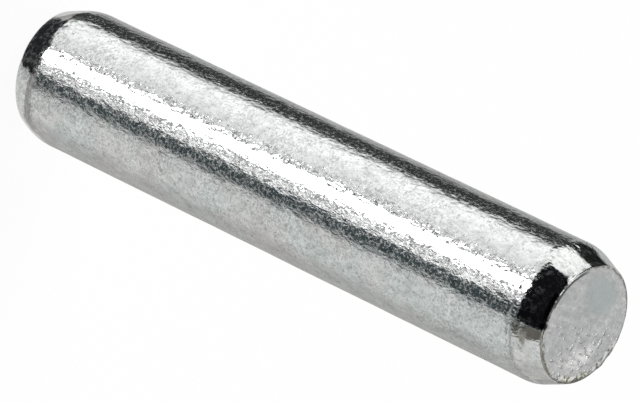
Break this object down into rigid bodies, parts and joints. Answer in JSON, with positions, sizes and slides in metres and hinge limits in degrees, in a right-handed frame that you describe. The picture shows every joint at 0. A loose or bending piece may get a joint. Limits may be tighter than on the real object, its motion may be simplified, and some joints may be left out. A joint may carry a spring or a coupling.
{
  "type": "shelf support pin",
  "caption": "Plain round steel pin with a chamfer at each end: one half goes into a drilled cabinet side, a shelf rests on the other.",
  "frame": {"origin": "centre of the lower end face, on the surface that the pin stands on", "axes": "+Z along the pin's axis, up to the upper end face; X and Y are any pair square to it, because the pin is a solid of revolution"},
  "size_m": [0.005, 0.005, 0.025],
  "materials": {
    "zinc_plated_steel": "bright zinc plate over drawn steel, semi-gloss, finely grained and slightly mottled"
  },
  "bodies": {
    "root": {"pin": "zinc_plated_steel"}
  },
  "joints": []
}
